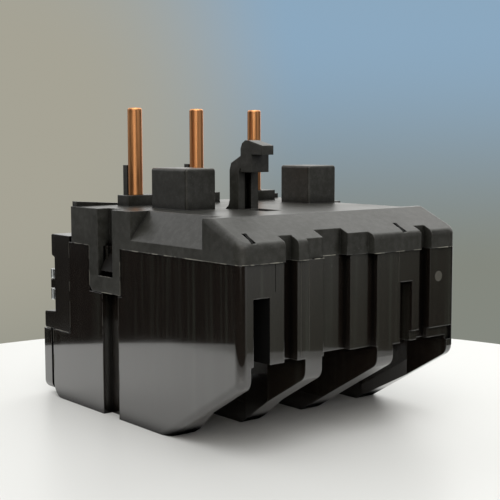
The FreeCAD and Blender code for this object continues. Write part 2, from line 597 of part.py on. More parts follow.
def topCover():
    """Moulded cover: sloped rear, bevelled sides, latch tabs, stop blocks and hook in one piece."""
    body = piece("top_cover")
    side = [("-coverFront", "partLevel"), ("coverRear", "partLevel"), ("coverRear", "slopeFoot"),
            ("ridgeRear", "deckLevel"), ("-coverFront", "deckLevel")]
    pad(body, drawing(body, "YZ_Plane", [side]), "2*halfWidth", symmetric=True)
    fillet(body, "coverCorner", lambda mid, way: upright(way) and near(mid.y, size("coverRear")))
    fillet(body, "coverRounding", lambda mid, way: across(way) and near(mid.y, size("coverRear"))
           and near(mid.z, size("slopeFoot")))

    # Side bevels between the front block and the rear ridge.
    for sign in ("", "-"):
        bevel = [("%shalfWidth" % sign, "bevelFoot"), ("%sbevelTop" % sign, "deckLevel"),
                 ("%sbevelTop" % sign, "deckLevel+over"), ("%s(halfWidth+over)" % sign, "deckLevel+over"),
                 ("%s(halfWidth+over)" % sign, "bevelFoot")]
        pocket(body, drawing(body, "XZ_Plane", [bevel], "bevelFront"), "bevelFront+bevelRear",
               along=False)

    # Hollow inside, stepped below the bevels.
    lower = rectangle(("-chamberHalf", "chamberHalf"), ("-coverFront+wall", "chamberRear"))
    pocket(body, drawing(body, "XY_Plane", [lower], "partLevel-over"), "bevelFoot-partLevel+over")
    upper = rectangle(("-bevelTop+wall", "bevelTop-wall"), ("-coverFront+wall", "chamberRear-2*wall"))
    pocket(body, drawing(body, "XY_Plane", [upper], "partLevel-over"), "deckLevel-wall-partLevel+over")

    # Rear recesses and grooves that carry the base's grooves up into the slope.
    back = "coverRear+over"
    right = ("grooveRight-grooveRightWide/2", "grooveRight+grooveRightWide/2")
    left = ("-grooveLeft-grooveLeftWide/2", "-grooveLeft+grooveLeftWide/2")
    grooves = [rectangle(right, ("rearFace-grooveDepth+gap", back)),
               rectangle(left, ("rearFace-grooveDepth+gap", back)),
               [("notchRight", back), ("notchRight", "coverRear-notchFirst"),
                ("notchMiddle", "coverRear-notchFirst"), ("notchMiddle", "coverRear-notchDeep"),
                ("notchStep", "coverRear-notchDeep"), ("notchStep", "coverRear-notchLast"),
                ("-notchLeft", "coverRear-notchLast"), ("-notchLeft-weld", back)]]
    pocket(body, drawing(body, "XY_Plane", grooves, "partLevel-over"), "deckLevel")

    # Moulding slits in the rear slope.
    slitWay = ("coverRear-slitRear-slitLong", "coverRear-slitRear")
    slits = [rectangle(("halfWidth-slitRight-slitWide/2", "halfWidth-slitRight+slitWide/2"), slitWay),
             rectangle(("-slitLeft-slitWide/2", "-slitLeft+slitWide/2"), slitWay)]
    pocket(body, drawing(body, "XY_Plane", slits, "slitFoot"), "deckLevel")

    # Latch tabs hang over the base; the slot above each runs up through the deck.
    doc.recompute()
    tabs = []
    voids = []
    for name, sign in (("Right", ""), ("Left", "-")):
        tab = piece("latch" + name)
        hang = [("-latchFront", "partLevel+over"), ("-latchFront", "latchFoot+latchCorner"),
                ("-latchFront+latchCorner", "latchFoot"), ("-latchRear", "latchFoot"),
                ("-latchRear", "partLevel+over")]
        level = "halfWidth-latchThick" if sign == "" else "-halfWidth"
        pad(tab, drawing(tab, "YZ_Plane", [hang], level), "latchThick")
        tabs.append(tab)
        reach = ("halfWidth-slotDepth", "halfWidth+over") if sign == "" else (
            "-halfWidth-over", "-halfWidth+slotDepth")
        voids.append(box("latchSlot" + name, reach, ("-latchSlotFront", "-latchSlotRear"),
                         ("latchSlotFoot", "deckLevel+over")))

    # Stop blocks against the contactor.
    blocks = []
    for name, centre in (("stopRight", "stopRight"), ("stopLeft", "-stopLeft")):
        block = piece(name)
        foot = rectangle((centre + "-%sWide/2" % name, centre + "+%sWide/2" % name),
                         ("-%sRear-%sDeep" % (name, name), "-%sRear" % name))
        pad(block, drawing(block, "XY_Plane", [foot], "deckLevel-weld"), "stopTop-deckLevel+weld")
        fillet(block, "stopRounding", lambda mid, way: upright(way) or near(mid.z, size("stopTop")))
        blocks.append(block)

    # Collars round the line pins with a guard post in front of each.
    for number, pole in poles.items():
        blocks.append(box("collar%d" % number, (pole + "-collarLeft", pole + "+collarRight"),
                          ("-pinLine-collarHalf", "-pinLine+collarHalf"), ("deckLevel-weld", "collarTop")))
        blocks.append(box("post%d" % number, (pole + "-postHalf", pole + "+postHalf"),
                          ("-pinLine-postFront", "-pinLine-collarHalf+fit"), ("deckLevel-weld", "postTop")))
        voids.append(rod("plugHole%d" % number, "z", "pinRadius+gap", (pole + pinShift[number], "-pinLine"),
                         ("deckLevel-2*wall", "collarTop+over")))
    for name, sign in (("Right", ""), ("Left", "-")):
        ramp = piece("ramp" + name)
        outer = "%s(halfWidth-weld)" % sign
        inner = "%s(halfWidth-weld-rampLong)" % sign
        side = [(inner, "deckLevel-weld"), (outer, "deckLevel-weld"), (outer, "deckLevel+rampHigh"),
                (inner, "deckLevel+rampLow")]
        pad(ramp, drawing(ramp, "XZ_Plane", [side], "coverFront-rampDeep"), "rampDeep")
        blocks.append(ramp)
    blocks.append(latchHook())
    voids.append(box("hookChannel", ("hookSide-channelRight-channelWide", "hookSide-channelRight"),
                     ("-hookRear-channelDeep", "-hookRear+over"), ("deckLevel+fit", "hookTop-hookBlockFoot")))
    voids.append(box("hookCore", ("hookSide-hookWide", "hookSide-over"),
                     ("-hookRear+gap", "-hookRear+hookNoseReach"), ("deckLevel-wall-over", "deckLevel+fit")))
    return cut("top_cover_node", join("coverWhole", body, *(tabs + blocks)), *voids)


def latchHook():
    """The hook that holds the relay on the contactor: flared stem, shoulder, neck and nose."""
    hook = piece("hook")
    front = "(-hookRear-hookDeep)"
    stem = [(front + "-1.6", "deckLevel-weld"), ("-hookRear", "deckLevel-weld"),
            ("-hookRear", "hookTop-hookBlockFoot"), (front + "+6", "hookTop-4"),
            (front + "+neckFront", "hookTop-3.8"), (front + "+0.6", "hookTop-5.6"),
            (front, "hookTop-7.4"), (front, "deckLevel+2.4"), (front + "-0.5", "deckLevel+0.9"),
            (front + "-1.6", "deckLevel+0.1")]
    pad(hook, drawing(hook, "YZ_Plane", [stem], "hookSide-hookWide"), "hookWide")
    block = rectangle((front + "+neckFront", "-hookRear+hookBlockReach"),
                      ("hookTop-hookBlockFoot", "hookTop-3.2"))
    pad(hook, drawing(hook, "YZ_Plane", [block], "hookSide-hookBlock"), "hookBlock")
    head = [(front + "+neckFront", "hookTop-4.4"), (front + "+neckFront", "hookTop-2"),
            (front + "+5", "hookTop-0.7"), (front + "+6.2", "hookTop"), (front + "+7.4", "hookTop"),
            ("-hookRear+hookNoseReach", "hookTop-1.3"), ("-hookRear+hookNoseReach", "hookTop-hookNoseFoot"),
            ("-hookRear+hookBlockReach-weld", "hookTop-hookNoseFoot"),
            ("-hookRear+hookBlockReach-weld", "hookTop-4.4")]
    pad(hook, drawing(hook, "YZ_Plane", [head], "hookSide-hookNose"), "hookNose")
    return hook


def frontPanel():
    """Front panel: brow, control face, auxiliary terminal wells and the ledge above the terminals."""
    body = piece("front_panel")
    back = "-bodyFront-contact"
    side = [(back, "toeLevel+contact"), ("-ledgeFront", "toeLevel+contact"),
            ("-ledgeFront", "ledgeTop-ledgeFall"), ("-panelFace", "ledgeTop"), ("-panelFace", "browLevel"),
            ("-browFace", "browLevel+ledgeFall"), ("-browFace", "panelTop"), (back, "panelTop")]
    pad(body, drawing(body, "YZ_Plane", [side]), "2*panelHalf", symmetric=True)
    fillet(body, "panelRounding", lambda mid, way: across(way) and mid.y < -size("browFace-fit"))
    roof = "panelTop-wall"
    floor = "ledgeTop+panelSill"
    rooms = [rectangle(("-lidLeft-roomLeft", "panelHalf-wall"), (floor, roof))]
    pocket(body, drawing(body, "XZ_Plane", rooms, "bodyFront"), "panelFace-wall-bodyFront")
    wells = [rectangle((place + "-auxHalf", place + "+auxHalf"), (floor, "wellTop"))
             for place in auxiliaries.values()]
    pocket(body, drawing(body, "XZ_Plane", wells, "bodyFront"), "browFace-bodyFront+over")
    tray = rectangle(("-panelHalf+wall", "panelHalf-wall"), ("-ledgeFront+wall", "-bodyFront-wall-fit"))
    pocket(body, drawing(body, "XY_Plane", [tray], "toeLevel"), "ledgeTop-wall-toeLevel")
    doc.recompute()

    faceWay = ("-browFace-over", "-panelFace+wall+over")
    knuckle = rod("panelKnuckle", "z", "knuckleRadius", ("hingeAcross", "-hingeAlong"),
                  ("knuckleLower", "knuckleUpper"))
    root = box("panelKnuckleRoot", ("hingeAcross-lidWall", "hingeAcross+lidWall"),
               ("-hingeAlong", "-panelFace+weld"), ("knuckleLower", "knuckleUpper"))
    voids = [
        rod("dialOpening", "y", "dialRadius+gap", ("dialPlace", "controlLevel"), faceWay),
        rod("resetOpening", "y", "resetRadius+gap", ("resetPlace", "controlLevel"), faceWay),
        box("stopOpening", ("stopPlace-stopHalf-gap", "stopPlace+stopHalf+gap"), faceWay,
            ("controlLevel-stopHigh-gap", "controlLevel+stopHigh+gap")),
        box("indicatorOpening", ("tripPlace-indicatorHalf-gap", "tripPlace+indicatorHalf+indicatorWay"),
            faceWay, ("controlLevel-indicatorHigh-gap", "controlLevel+indicatorHigh+gap")),
        rod("panelHingeBore", "z", "hingePin+fit", ("hingeAcross", "-hingeAlong"),
            ("knuckleLower-over", "knuckleUpper+over")),
    ]
    return cut("front_panel_node", join("panelWhole", body, knuckle, root), *voids)


def terminalShroud():
    """Finger guard over the three main terminal screws."""
    body = piece("terminal_shroud")
    plate = rectangle(("-halfWidth+baseInset", "halfWidth-baseInset"), ("shroudFoot", "shroudTop"))
    pad(body, drawing(body, "XZ_Plane", [plate], "shroudRear"), "shroudFront-shroudRear")
    fillet(body, "shroudPlate", lambda mid, way: abs(way.y) > 0.99 and near(mid.z, size("shroudFoot")))
    fillet(body, "shroudEdge", lambda mid, way: near(mid.y, -size("shroudFront")))
    hollow = rectangle(("-halfWidth+baseInset+shroudWall", "halfWidth-baseInset-shroudWall"),
                       ("shroudFoot+shroudWall", "shroudTop-shroudWall"))
    pocket(body, drawing(body, "XZ_Plane", [hollow], "shroudRear-over"),
           "shroudFront-shroudPlate-shroudRear+over")
    doc.recompute()
    bosses = []
    voids = []
    for number, pole in poles.items():
        bosses.append(rod("shroudBoss%d" % number, "y", "screwHead+shroudWall", (pole, "screwLevel"),
                          ("-shroudFront+weld", "-toeFront-contact")))
        voids.append(rod("shroudBore%d" % number, "y", "screwHead+gap", (pole, "screwLevel"),
                         ("-shroudFront+shroudPlate", "-toeFront")))
        voids.append(rod("driverHole%d" % number, "y", "driverRadius", (pole, "screwLevel"),
                         ("-shroudFront-over", "-toeFront")))
    return cut("terminal_shroud_node", join("shroudWhole", body, *bosses), *voids)


def sealingCover():
    """Hinged transparent cover over dial, buttons and trip indicator."""
    body = piece("sealing_cover")
    plate = rectangle(("-lidLeft", "lidRight"), ("lidFoot", "lidTop"))
    pad(body, drawing(body, "XZ_Plane", [plate], "panelFace+gap"), "lidFace-panelFace-gap")
    fillet(body, "lidRounding", lambda mid, way: near(mid.y, -size("lidFace")))
    hollow = rectangle(("-lidLeft+lidWall", "lidRight-lidWall"), ("lidFoot+lidWall", "lidTop-lidWall"))
    pocket(body, drawing(body, "XZ_Plane", [hollow], "panelFace"), "lidFace-lidWall-panelFace")
    doc.recompute()
    knuckles = []
    for name, low, high in (("Lower", "knuckleFoot", "knuckleLower-gap"),
                            ("Upper", "knuckleUpper+gap", "knuckleTop")):
        knuckles.append(rod("lidKnuckle" + name, "z", "knuckleRadius", ("hingeAcross", "-hingeAlong"),
                            (low, high)))
        knuckles.append(box("lidLeaf" + name, ("lidRight-weld", "hingeAcross"),
                            ("-hingeAlong-lidWall/2", "-hingeAlong+lidWall/2"), (low, high)))
    bore = rod("lidBore", "z", "hingePin+fit", ("hingeAcross", "-hingeAlong"),
               ("knuckleFoot-over", "knuckleTop+over"))
    return cut("sealing_cover_node", join("lidWhole", body, *knuckles), bore)


def hingePin():
    return rod("cover_hinge_pin", "z", "hingePin", ("hingeAcross", "-hingeAlong"),
               ("knuckleFoot", "knuckleTop"))


# ---------------------------------------------------------------- controls

def currentDial():
    """Setting dial with a screwdriver slot; its shaft carries an eccentric inside."""
    place = ("dialPlace", "controlLevel")
    behind = "-panelFace+wall"
    knob = rod("dialKnob", "y", "dialRadius", place, ("-buttonFace", behind + "-weld"))
    flange = rod("dialFlange", "y", "dialRadius+rim", place, (behind + "+fit", behind + "+flangeThick"))
    neck = rod("dialNeck", "y", "dialRadius-rim", place, ("-panelFace+weld", behind + "+weld"))
    shaft = rod("dialShaft", "y", "dialShaft", place, (behind + "+weld", "-leverFront-camFront"))
    cam = rod("dialCam", "y", "camRadius", ("dialPlace+camOffset", "controlLevel"),
              ("-leverFront-camFront-camLong", "-leverFront-camFront"))
    slot = box("dialSlot", ("dialPlace-dialRadius+rim", "dialPlace+dialRadius-rim"),
               ("-buttonFace-over", "-buttonFace+slotDeep"),
               ("controlLevel-slotHalf", "controlLevel+slotHalf"))
    return cut("current_dial", join("dialWhole", knob, flange, neck, shaft, cam), slot)


def pushButton(name, head, flange, place, reach):
    """A button: head through the panel, flange behind it, rod through the base wall."""
    stem = rod(name + "Rod", "y", "buttonRod", (place, "controlLevel"),
               ("-panelFace+wall+weld", "-leverFront-buttonTravel-" + reach))
    return join(name, head, flange, stem)


def resetButton():
    place = ("resetPlace", "controlLevel")
    head = rod("resetHead", "y", "resetRadius", place, ("-buttonFace", "-panelFace+wall+weld"))
    flange = rod("resetFlange", "y", "resetRadius+rim", place,
                 ("-panelFace+wall+fit", "-panelFace+wall+flangeThick"))
    return pushButton("reset_button", head, flange, "resetPlace", "weld")


def stopButton():
    head = box("stopHead", ("stopPlace-stopHalf", "stopPlace+stopHalf"),
               ("-buttonFace", "-panelFace+wall+weld"), ("controlLevel-stopHigh", "controlLevel+stopHigh"))
    flange = box("stopFlange", ("stopPlace-stopHalf-rim", "stopPlace+stopHalf+rim"),
                 ("-panelFace+wall+fit", "-panelFace+wall+flangeThick"),
                 ("controlLevel-stopHigh-rim", "controlLevel+stopHigh+rim"))
    return pushButton("stop_button", head, flange, "stopPlace", "fit")


def coilSpring(label, place):
    """Return spring between a button's flange and the base wall, of six-sided wire."""
    wire = size("springWire")
    start = -size("panelFace") + size("wall") + size("flangeThick") + wire
    length = -size("bodyFront") - wire - start
    radius = size("buttonRod") + size("gap") + wire
    helix = Part.makeHelix(length / size("springTurns"), length, radius)
    turns = [math.radians(60 * side) for side in range(6)]
    corners = [Vector(radius + wire * math.cos(turn), 0, wire * math.sin(turn)) for turn in turns]
    profile = Part.makePolygon(corners + corners[:1])
    spring = doc.addObject("Part::Feature", label)
    spring.Shape = Part.Wire(helix.Edges).makePipeShell([profile], True, True)
    spring.Placement = FreeCAD.Placement(
        Vector(size(place), size("heelShift") + start, size("controlLevel")), turned["y"])
    return spring


def tripIndicator():
    """Tab in the front slot; it rides on the trip lever's forward arm."""
    return box("trip_indicator", ("tripPlace-indicatorHalf", "tripPlace+indicatorHalf"),
               ("-buttonFace+gap", "-leverFront-indicatorRear"),
               ("controlLevel-indicatorHigh", "controlLevel+indicatorHigh"))


# ---------------------------------------------------------------- current path

def linePin(number, pole):
    """Copper pin with a strap that runs over the heater to the bimetal's root."""
    place = (pole + pinShift[number], "-pinLine")
    neck = rod("pinNeck%d" % number, "z", "pinNeck", place, ("strapLevel", "collarTop+weld"))
    pin = rod("pinRod%d" % number, "z", "pinRadius", place, ("collarTop+fit", "pinTop-pinChamfer"))
    tip = doc.addObject("Part::Cone", "pinTip%d" % number)
    tip.setExpression("Radius1", bind("pinRadius"))
    tip.setExpression("Radius2", bind("pinRadius-pinChamfer"))
    tip.setExpression("Height", bind("pinChamfer"))
    tip.setExpression("Placement.Base.x", bind(place[0]))
    tip.setExpression("Placement.Base.y", bind(placed("y", "-pinLine")))
    tip.setExpression("Placement.Base.z", bind("pinTop-pinChamfer"))
    across = (pole + "-strapHalf", pole + "+strapHalf")
    strap = box("pinStrap%d" % number, across, ("-pinLine-pinNeck-over", "rootLine+strapThick"),
                ("strapLevel", "strapLevel+strapThick"))
    root = box("pinRoot%d" % number, across, ("rootLine", "rootLine+strapThick"),
               ("chamberFloor", "strapLevel+strapThick"))
    return join("line_pin_%d" % number, neck, pin, tip, strap, root)


def bimetal(number, pole):
    return box("bimetal_%d" % number, (pole + "-stripThick/2", pole + "+stripThick/2"),
               ("-stripTip", "rootLine-fit"), ("stripFoot", "stripTop"))


def heaterWinding(number, offset):
    """Flat ribbon wound round the bimetal, with a lead down to the load strap."""
    radius = size("coilRadius")
    length = size("coilRear") + size("coilFront")
    wide = size("ribbonWide")
    thick = size("ribbonThick")
    helix = Part.makeHelix(length / size("coilTurns"), length, radius)
    corners = [(radius - thick / 2, -wide / 2), (radius + thick / 2, -wide / 2),
               (radius + thick / 2, wide / 2), (radius - thick / 2, wide / 2)]
    points = [Vector(x, 0, z) for x, z in corners]
    profile = Part.makePolygon(points + points[:1])
    ribbon = Part.Wire(helix.Edges).makePipeShell([profile], True, True)
    ribbon.rotate(Vector(), Vector(0, 0, 1), 90)
    level = (size("stripFoot") + size("stripTop")) / 2
    front = size("heelShift") - size("coilFront")
    ribbon.Placement = FreeCAD.Placement(Vector(offset, front, level), turned["y"]).multiply(
        ribbon.Placement)
    foot = size("chamberFloor") + size("strapThick")
    lead = Part.makeBox(wide, wide, level - radius + thick / 2 - foot,
                        Vector(offset - wide / 2, front - wide / 2, foot))
    winding = doc.addObject("Part::Feature", "heater_winding_%d" % number)
    winding.Shape = ribbon.fuse(lead).removeSplitter()
    return winding


def loadStrap(number, pole):
    """Copper strap from the heater along the floor and down into the terminal pocket."""
    across = (pole + "-strapHalf", pole + "+strapHalf")
    flat = box("strapFlat%d" % number, across, ("-loadPlane", "-coilFront+ribbonWide"),
               ("chamberFloor", "chamberFloor+strapThick"))
    drop = box("strapDrop%d" % number, across, ("-loadPlane", "-loadPlane+strapThick"),
               ("loadFoot", "chamberFloor+strapThick"))
    return join("load_strap_%d" % number, flat, drop)


def terminalCage(number, pole):
    """Box clamp round the load strap; the screw is threaded through its front wall."""
    front = "-loadPlane-2*gap-cageWall"
    rear = "-loadPlane+strapThick+cageMouth+cageWall"
    shell = box("cageShell%d" % number, (pole + "-cageHalf", pole + "+cageHalf"), (front, rear),
                ("cageFoot", "cageTop"))
    inside = box("cageInside%d" % number,
                 (pole + "-cageHalf+cageSide", pole + "+cageHalf-cageSide"),
                 (front + "+cageWall", rear + "-cageWall"), ("cageFoot-over", "cageTop+over"))
    thread = rod("cageThread%d" % number, "y", "screwRadius+fit", (pole, "screwLevel"),
                 (front + "-over", front + "+cageWall+over"))
    return cut("terminal_cage_%d" % number, shell, inside, thread)


def terminalScrew(number, pole):
    place = (pole, "screwLevel")
    front = "-toeFront-contact"
    head = rod("screwHead%d" % number, "y", "screwHead", place, (front + "-screwHeadDeep", front))
    shank = rod("screwShank%d" % number, "y", "screwRadius", place, (front + "-weld", "-loadPlane-gap"))
    deep = (front + "-screwHeadDeep-over", front + "-screwHeadDeep+driverDeep")
    slots = [box("screwSlotA%d" % number, (pole + "-driverHalf", pole + "+driverHalf"), deep,
                 ("screwLevel-slotHalf", "screwLevel+slotHalf")),
             box("screwSlotB%d" % number, (pole + "-slotHalf", pole + "+slotHalf"), deep,
                 ("screwLevel-driverHalf", "screwLevel+driverHalf"))]
    return cut("terminal_screw_%d" % number, join("screwWhole%d" % number, head, shank), *slots)


# ---------------------------------------------------------------- trip mechanism

def slider(label, bar, lugSpan, side):
    """A bar across the poles with one lug beside each bimetal."""
    along = ("-sliderFront", "-sliderFront+sliderDeep")
    shapes = [box(label + "Bar", ("-sliderHalf", "sliderHalf"), along, bar)]
    for number, pole in poles.items():
        inner = pole + side + "(stripThick/2+gap)"
        outer = pole + side + "(stripThick/2+gap+lugThick)"
        reach = (inner, outer) if side == "+" else (outer, inner)
        shapes.append(box(label + "Lug%d" % number, reach, along, lugSpan))
    return join(label, *shapes)


def compensationLever():
    """Bell crank: the main slider pushes its rear arm, its inner arm moves the trip lever."""
    hub = rod("crankHub", "z", "pivotRadius+bossWall", ("crankPlace", "-leverFront"), ("leverFoot-over", "mainTop"))
    rear = box("crankRear", ("sliderHalf+gap", "sliderHalf+gap+crankThick"),
               ("-leverFront", "-sliderFront+sliderDeep+fit"), ("mainFoot-fit", "mainTop"))
    inner = box("crankInner", ("crankPlace-crankReach", "crankPlace"),
                ("-leverFront-gap-crankThick", "-leverFront-gap"), ("leverFoot", "leverTop"))
    bore = rod("crankBore", "z", "pivotRadius+fit", ("crankPlace", "-leverFront"),
               ("leverFoot-2*over", "mainTop+over"))
    return cut("compensation_lever", join("crankWhole", hub, rear, inner), bore)


def tripLever():
    """Lever across the front of the chamber with the indicator arm and the contact arm."""
    middle = "-leverFront+leverThick/2"
    bar = box("leverBar", ("contactPlace+contactReach", "crankPlace-crankReach+leverLap"),
              ("-leverFront", "-leverFront+leverThick"), ("leverFoot", "leverTop"))
    hub = rod("leverHub", "z", "pivotRadius+bossWall", ("tripPlace", middle), ("leverFoot-over", "leverTop+over"))
    arm = box("leverArm", ("tripPlace-leverArmHalf", "tripPlace+leverArmHalf"),
              ("-leverFront-leverArmLong", "-leverFront+weld"), ("leverFoot", "controlLevel-indicatorHigh"))
    bore = rod("leverBore", "z", "pivotRadius+fit", ("tripPlace", middle),
               ("leverFoot-2*over", "leverTop+2*over"))
    return cut("trip_lever", join("leverWhole", bar, hub, arm), bore)


def pivotPin(label, across, along, top):
    return rod(label, "z", "pivotRadius", (across, along), ("chamberFloor-pivotSocket", top))


def movingContact():
    """Spring blade on the trip lever's left end with a silver contact on each side."""
    blade = box("contactBlade", ("contactPlace-bladeEnd", "contactPlace+2*contactReach"),
                ("-leverFront-bladeThick", "-leverFront"), ("leverFoot+over", "leverTop-over"))
    place = ("contactPlace", "auxLevel")
    front = rod("contactFront", "y", "contactRadius", place,
                ("-leverFront-bladeThick-rivetHigh", "-leverFront-fit"))
    rear = rod("contactRear", "y", "contactRadius", place, ("-leverFront-fit", "-leverFront+rivetHigh"))
    return join("moving_contact", blade, front, rear)


def auxTerminal(number, place):
    """Brass terminal plate on the base wall with a tang into the chamber."""
    plateFront = "-bodyFront-contact-auxPlate"
    shapes = [box("auxPlate%d" % number, (place + "-auxHalf+fit", place + "+auxHalf-fit"),
                  (plateFront, "-bodyFront"), ("auxLevel-auxPlateHigh", "tangTop+fit"))]
    ends = {1: "-leverFront-tangEnd", 2: "-leverFront-tangEnd", 3: "-leverFront+restRear",
            4: "-leverFront-workRear"}
    shapes.append(box("auxTang%d" % number, (place + "-tangHalf", place + "+tangHalf"),
                      (plateFront, ends[number]), ("tangFoot", "tangTop")))
    if number == 3:
        shapes.append(box("restBlade", ("contactPlace-contactRadius", place + "+tangHalf"),
                          ("-leverFront+restRear-fixedThick", "-leverFront+restRear"),
                          ("leverFoot+over", "tangTop")))
        shapes.append(rod("restContact", "y", "contactRadius", ("contactPlace", "auxLevel"),
                          ("-leverFront+restRear-fixedThick-rivetHigh", "-leverFront+restRear-fit")))
    if number == 4:
        shapes.append(box("workBlade", (place + "-tangHalf", "contactPlace+contactRadius"),
                          ("-leverFront-workRear-fixedThick", "-leverFront-workRear"),
                          ("leverFoot+over", "tangTop")))
        shapes.append(rod("workContact", "y", "contactRadius", ("contactPlace", "auxLevel"),
                          ("-leverFront-workRear-fixedThick", "-leverFront-workRear+workHigh")))
    whole = join("auxWhole%d" % number, *shapes)
    thread = rod("auxThread%d" % number, "y", "auxShank+fit", (place, "auxLevel"),
                 (plateFront + "-over", "-bodyFront+over"))
    return cut("aux_terminal_%d" % number, whole, thread)


def auxWasher(number, place):
    """Captive square washer that clamps the wire."""
    rear = "-bodyFront-contact-auxPlate-auxTravel-gap"
    plate = box("washerPlate%d" % number, (place + "-auxHalf+gap", place + "+auxHalf-gap"),
                (rear + "-washerThick", rear), ("auxLevel-washerHalf", "auxLevel+washerHalf"))
    hole = rod("washerHole%d" % number, "y", "auxShank+fit", (place, "auxLevel"),
               (rear + "-2*over", rear + "+over"))
    return cut("aux_washer_%d" % number, plate, hole)


def auxScrew(number, place):
    centre = (place, "auxLevel")
    seat = "-bodyFront-contact-auxPlate-auxTravel-gap-washerThick-contact"
    head = rod("auxHead%d" % number, "y", "auxHead", centre, (seat + "-auxHeadDeep", seat))
    shank = rod("auxShank%d" % number, "y", "auxShank", centre, (seat + "-weld", "-bodyFront-gap"))
    deep = (seat + "-auxHeadDeep-over", seat + "-auxHeadDeep+slotDeep")
    slot = box("auxSlot%d" % number, (place + "-auxSlotHalf", place + "+auxSlotHalf"), deep,
               ("auxLevel-auxSlotLong", "auxLevel+auxSlotLong"))
    crossing = box("auxCross%d" % number, (place + "-auxSlotLong", place + "+auxSlotLong"), deep,
                   ("auxLevel-auxSlotHalf", "auxLevel+auxSlotHalf"))
    return cut("aux_screw_%d" % number, join("auxScrewWhole%d" % number, head, shank), slot, crossing)


# ---------------------------------------------------------------- assembly

nodes = {
    "base_housing": baseHousing(),
    "top_cover": topCover(),
    "front_panel": frontPanel(),
    "terminal_shroud": terminalShroud(),
    "sealing_cover": sealingCover(),
    "cover_hinge_pin": hingePin(),
    "current_dial": currentDial(),
    "reset_button": resetButton(),
    "reset_spring": coilSpring("reset_spring", "resetPlace"),
    "stop_button": stopButton(),
    "stop_spring": coilSpring("stop_spring", "stopPlace"),
    "trip_indicator": tripIndicator(),
    "main_slider": slider("main_slider", ("mainFoot", "mainTop"), ("stripFoot+lugThick", "mainFoot+weld"), "+"),
    "differential_slider": slider("differential_slider", ("lowerFoot", "lowerTop"),
                                  ("lowerTop-weld", "stripTop-lugThick"), "-"),
    "compensation_lever": compensationLever(),
    "compensation_pivot": pivotPin("compensation_pivot", "crankPlace", "-leverFront", "mainTop"),
    "trip_lever": tripLever(),
    "trip_pivot": pivotPin("trip_pivot", "tripPlace", "-leverFront+leverThick/2", "leverTop+over"),
    "moving_contact": movingContact(),
}
for number, pole in poles.items():
    offset = (2 - number) * size("polePitch")
    nodes["line_pin_%d" % number] = linePin(number, pole)
    nodes["bimetal_%d" % number] = bimetal(number, pole)
    nodes["heater_winding_%d" % number] = heaterWinding(number, offset)
    nodes["load_strap_%d" % number] = loadStrap(number, pole)
    nodes["terminal_cage_%d" % number] = terminalCage(number, pole)
    nodes["terminal_screw_%d" % number] = terminalScrew(number, pole)
for number, place in auxiliaries.items():
    nodes["aux_terminal_%d" % number] = auxTerminal(number, place)
    nodes["aux_washer_%d" % number] = auxWasher(number, place)
    nodes["aux_screw_%d" % number] = auxScrew(number, place)

doc.recompute()
failed = [item.Label for item in doc.Objects if {"Invalid", "Error"} & set(item.State)]
for label, node in nodes.items():
    if node.Shape.isNull() or not node.Shape.isValid():
        failed.append(label)
if failed:
    raise RuntimeError("failed objects: " + ", ".join(sorted(set(failed))))

os.makedirs("parts", exist_ok=True)
for label, node in nodes.items():
    node.Label = label
    node.Shape.exportStep(os.path.join("parts", label + ".step"))
    box6 = node.Shape.BoundBox
    print("%-22s solids %d volume %9.1f  x %6.1f %6.1f y %6.1f %6.1f z %6.1f %6.1f" % (
        label, len(node.Shape.Solids), node.Shape.Volume, box6.XMin, box6.XMax, box6.YMin, box6.YMax,
        box6.ZMin, box6.ZMax))
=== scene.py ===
import bmesh
import bpy
import math
import random
from mathutils import Matrix, Vector


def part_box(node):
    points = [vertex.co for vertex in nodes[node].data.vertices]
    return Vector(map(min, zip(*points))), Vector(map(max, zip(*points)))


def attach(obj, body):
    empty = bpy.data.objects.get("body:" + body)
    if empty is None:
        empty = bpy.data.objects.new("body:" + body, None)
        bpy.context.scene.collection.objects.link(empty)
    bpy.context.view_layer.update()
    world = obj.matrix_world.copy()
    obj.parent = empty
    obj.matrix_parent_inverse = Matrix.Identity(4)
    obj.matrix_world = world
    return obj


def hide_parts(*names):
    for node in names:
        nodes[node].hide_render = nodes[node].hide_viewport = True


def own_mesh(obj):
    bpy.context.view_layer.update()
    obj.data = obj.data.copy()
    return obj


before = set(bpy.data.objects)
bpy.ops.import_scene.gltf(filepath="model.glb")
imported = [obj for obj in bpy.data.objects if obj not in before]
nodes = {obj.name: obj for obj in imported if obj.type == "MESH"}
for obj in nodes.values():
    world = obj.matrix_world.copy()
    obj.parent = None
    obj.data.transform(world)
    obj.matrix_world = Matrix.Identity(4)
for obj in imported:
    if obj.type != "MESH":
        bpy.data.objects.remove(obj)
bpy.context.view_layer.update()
scene = bpy.context.scene
random.seed(7)
print("frame loaded:", len(nodes), "nodes")

# camera
cameraSetup = {
    "azimuth": 141.04, "elevation": 5.752, "roll": -0.121,  # degrees
    "lens": 78.7, "sensor": 36.0,  # mm
    "place": (0.178288, 0.224313, 0.069777), "clip": (0.01, 20),
}


def makeCamera(setup):
    data = bpy.data.cameras.new("camera")
    data.lens, data.sensor_width = setup["lens"], setup["sensor"]
    data.clip_start, data.clip_end = setup["clip"]
    camera = bpy.data.objects.new("camera", data)
    scene.collection.objects.link(camera)
    turn, rise = math.radians(setup["azimuth"]), math.radians(setup["elevation"])
    back = Vector((math.sin(turn) * math.cos(rise), -math.cos(turn) * math.cos(rise), math.sin(rise)))
    aim = (-back).to_track_quat("-Z", "Y").to_matrix()
    spin = Matrix.Rotation(math.radians(setup["roll"]), 3, back)
    camera.matrix_world = Matrix.Translation(setup["place"]) @ (spin @ aim).to_4x4()
    scene.camera = camera


makeCamera(cameraSetup)


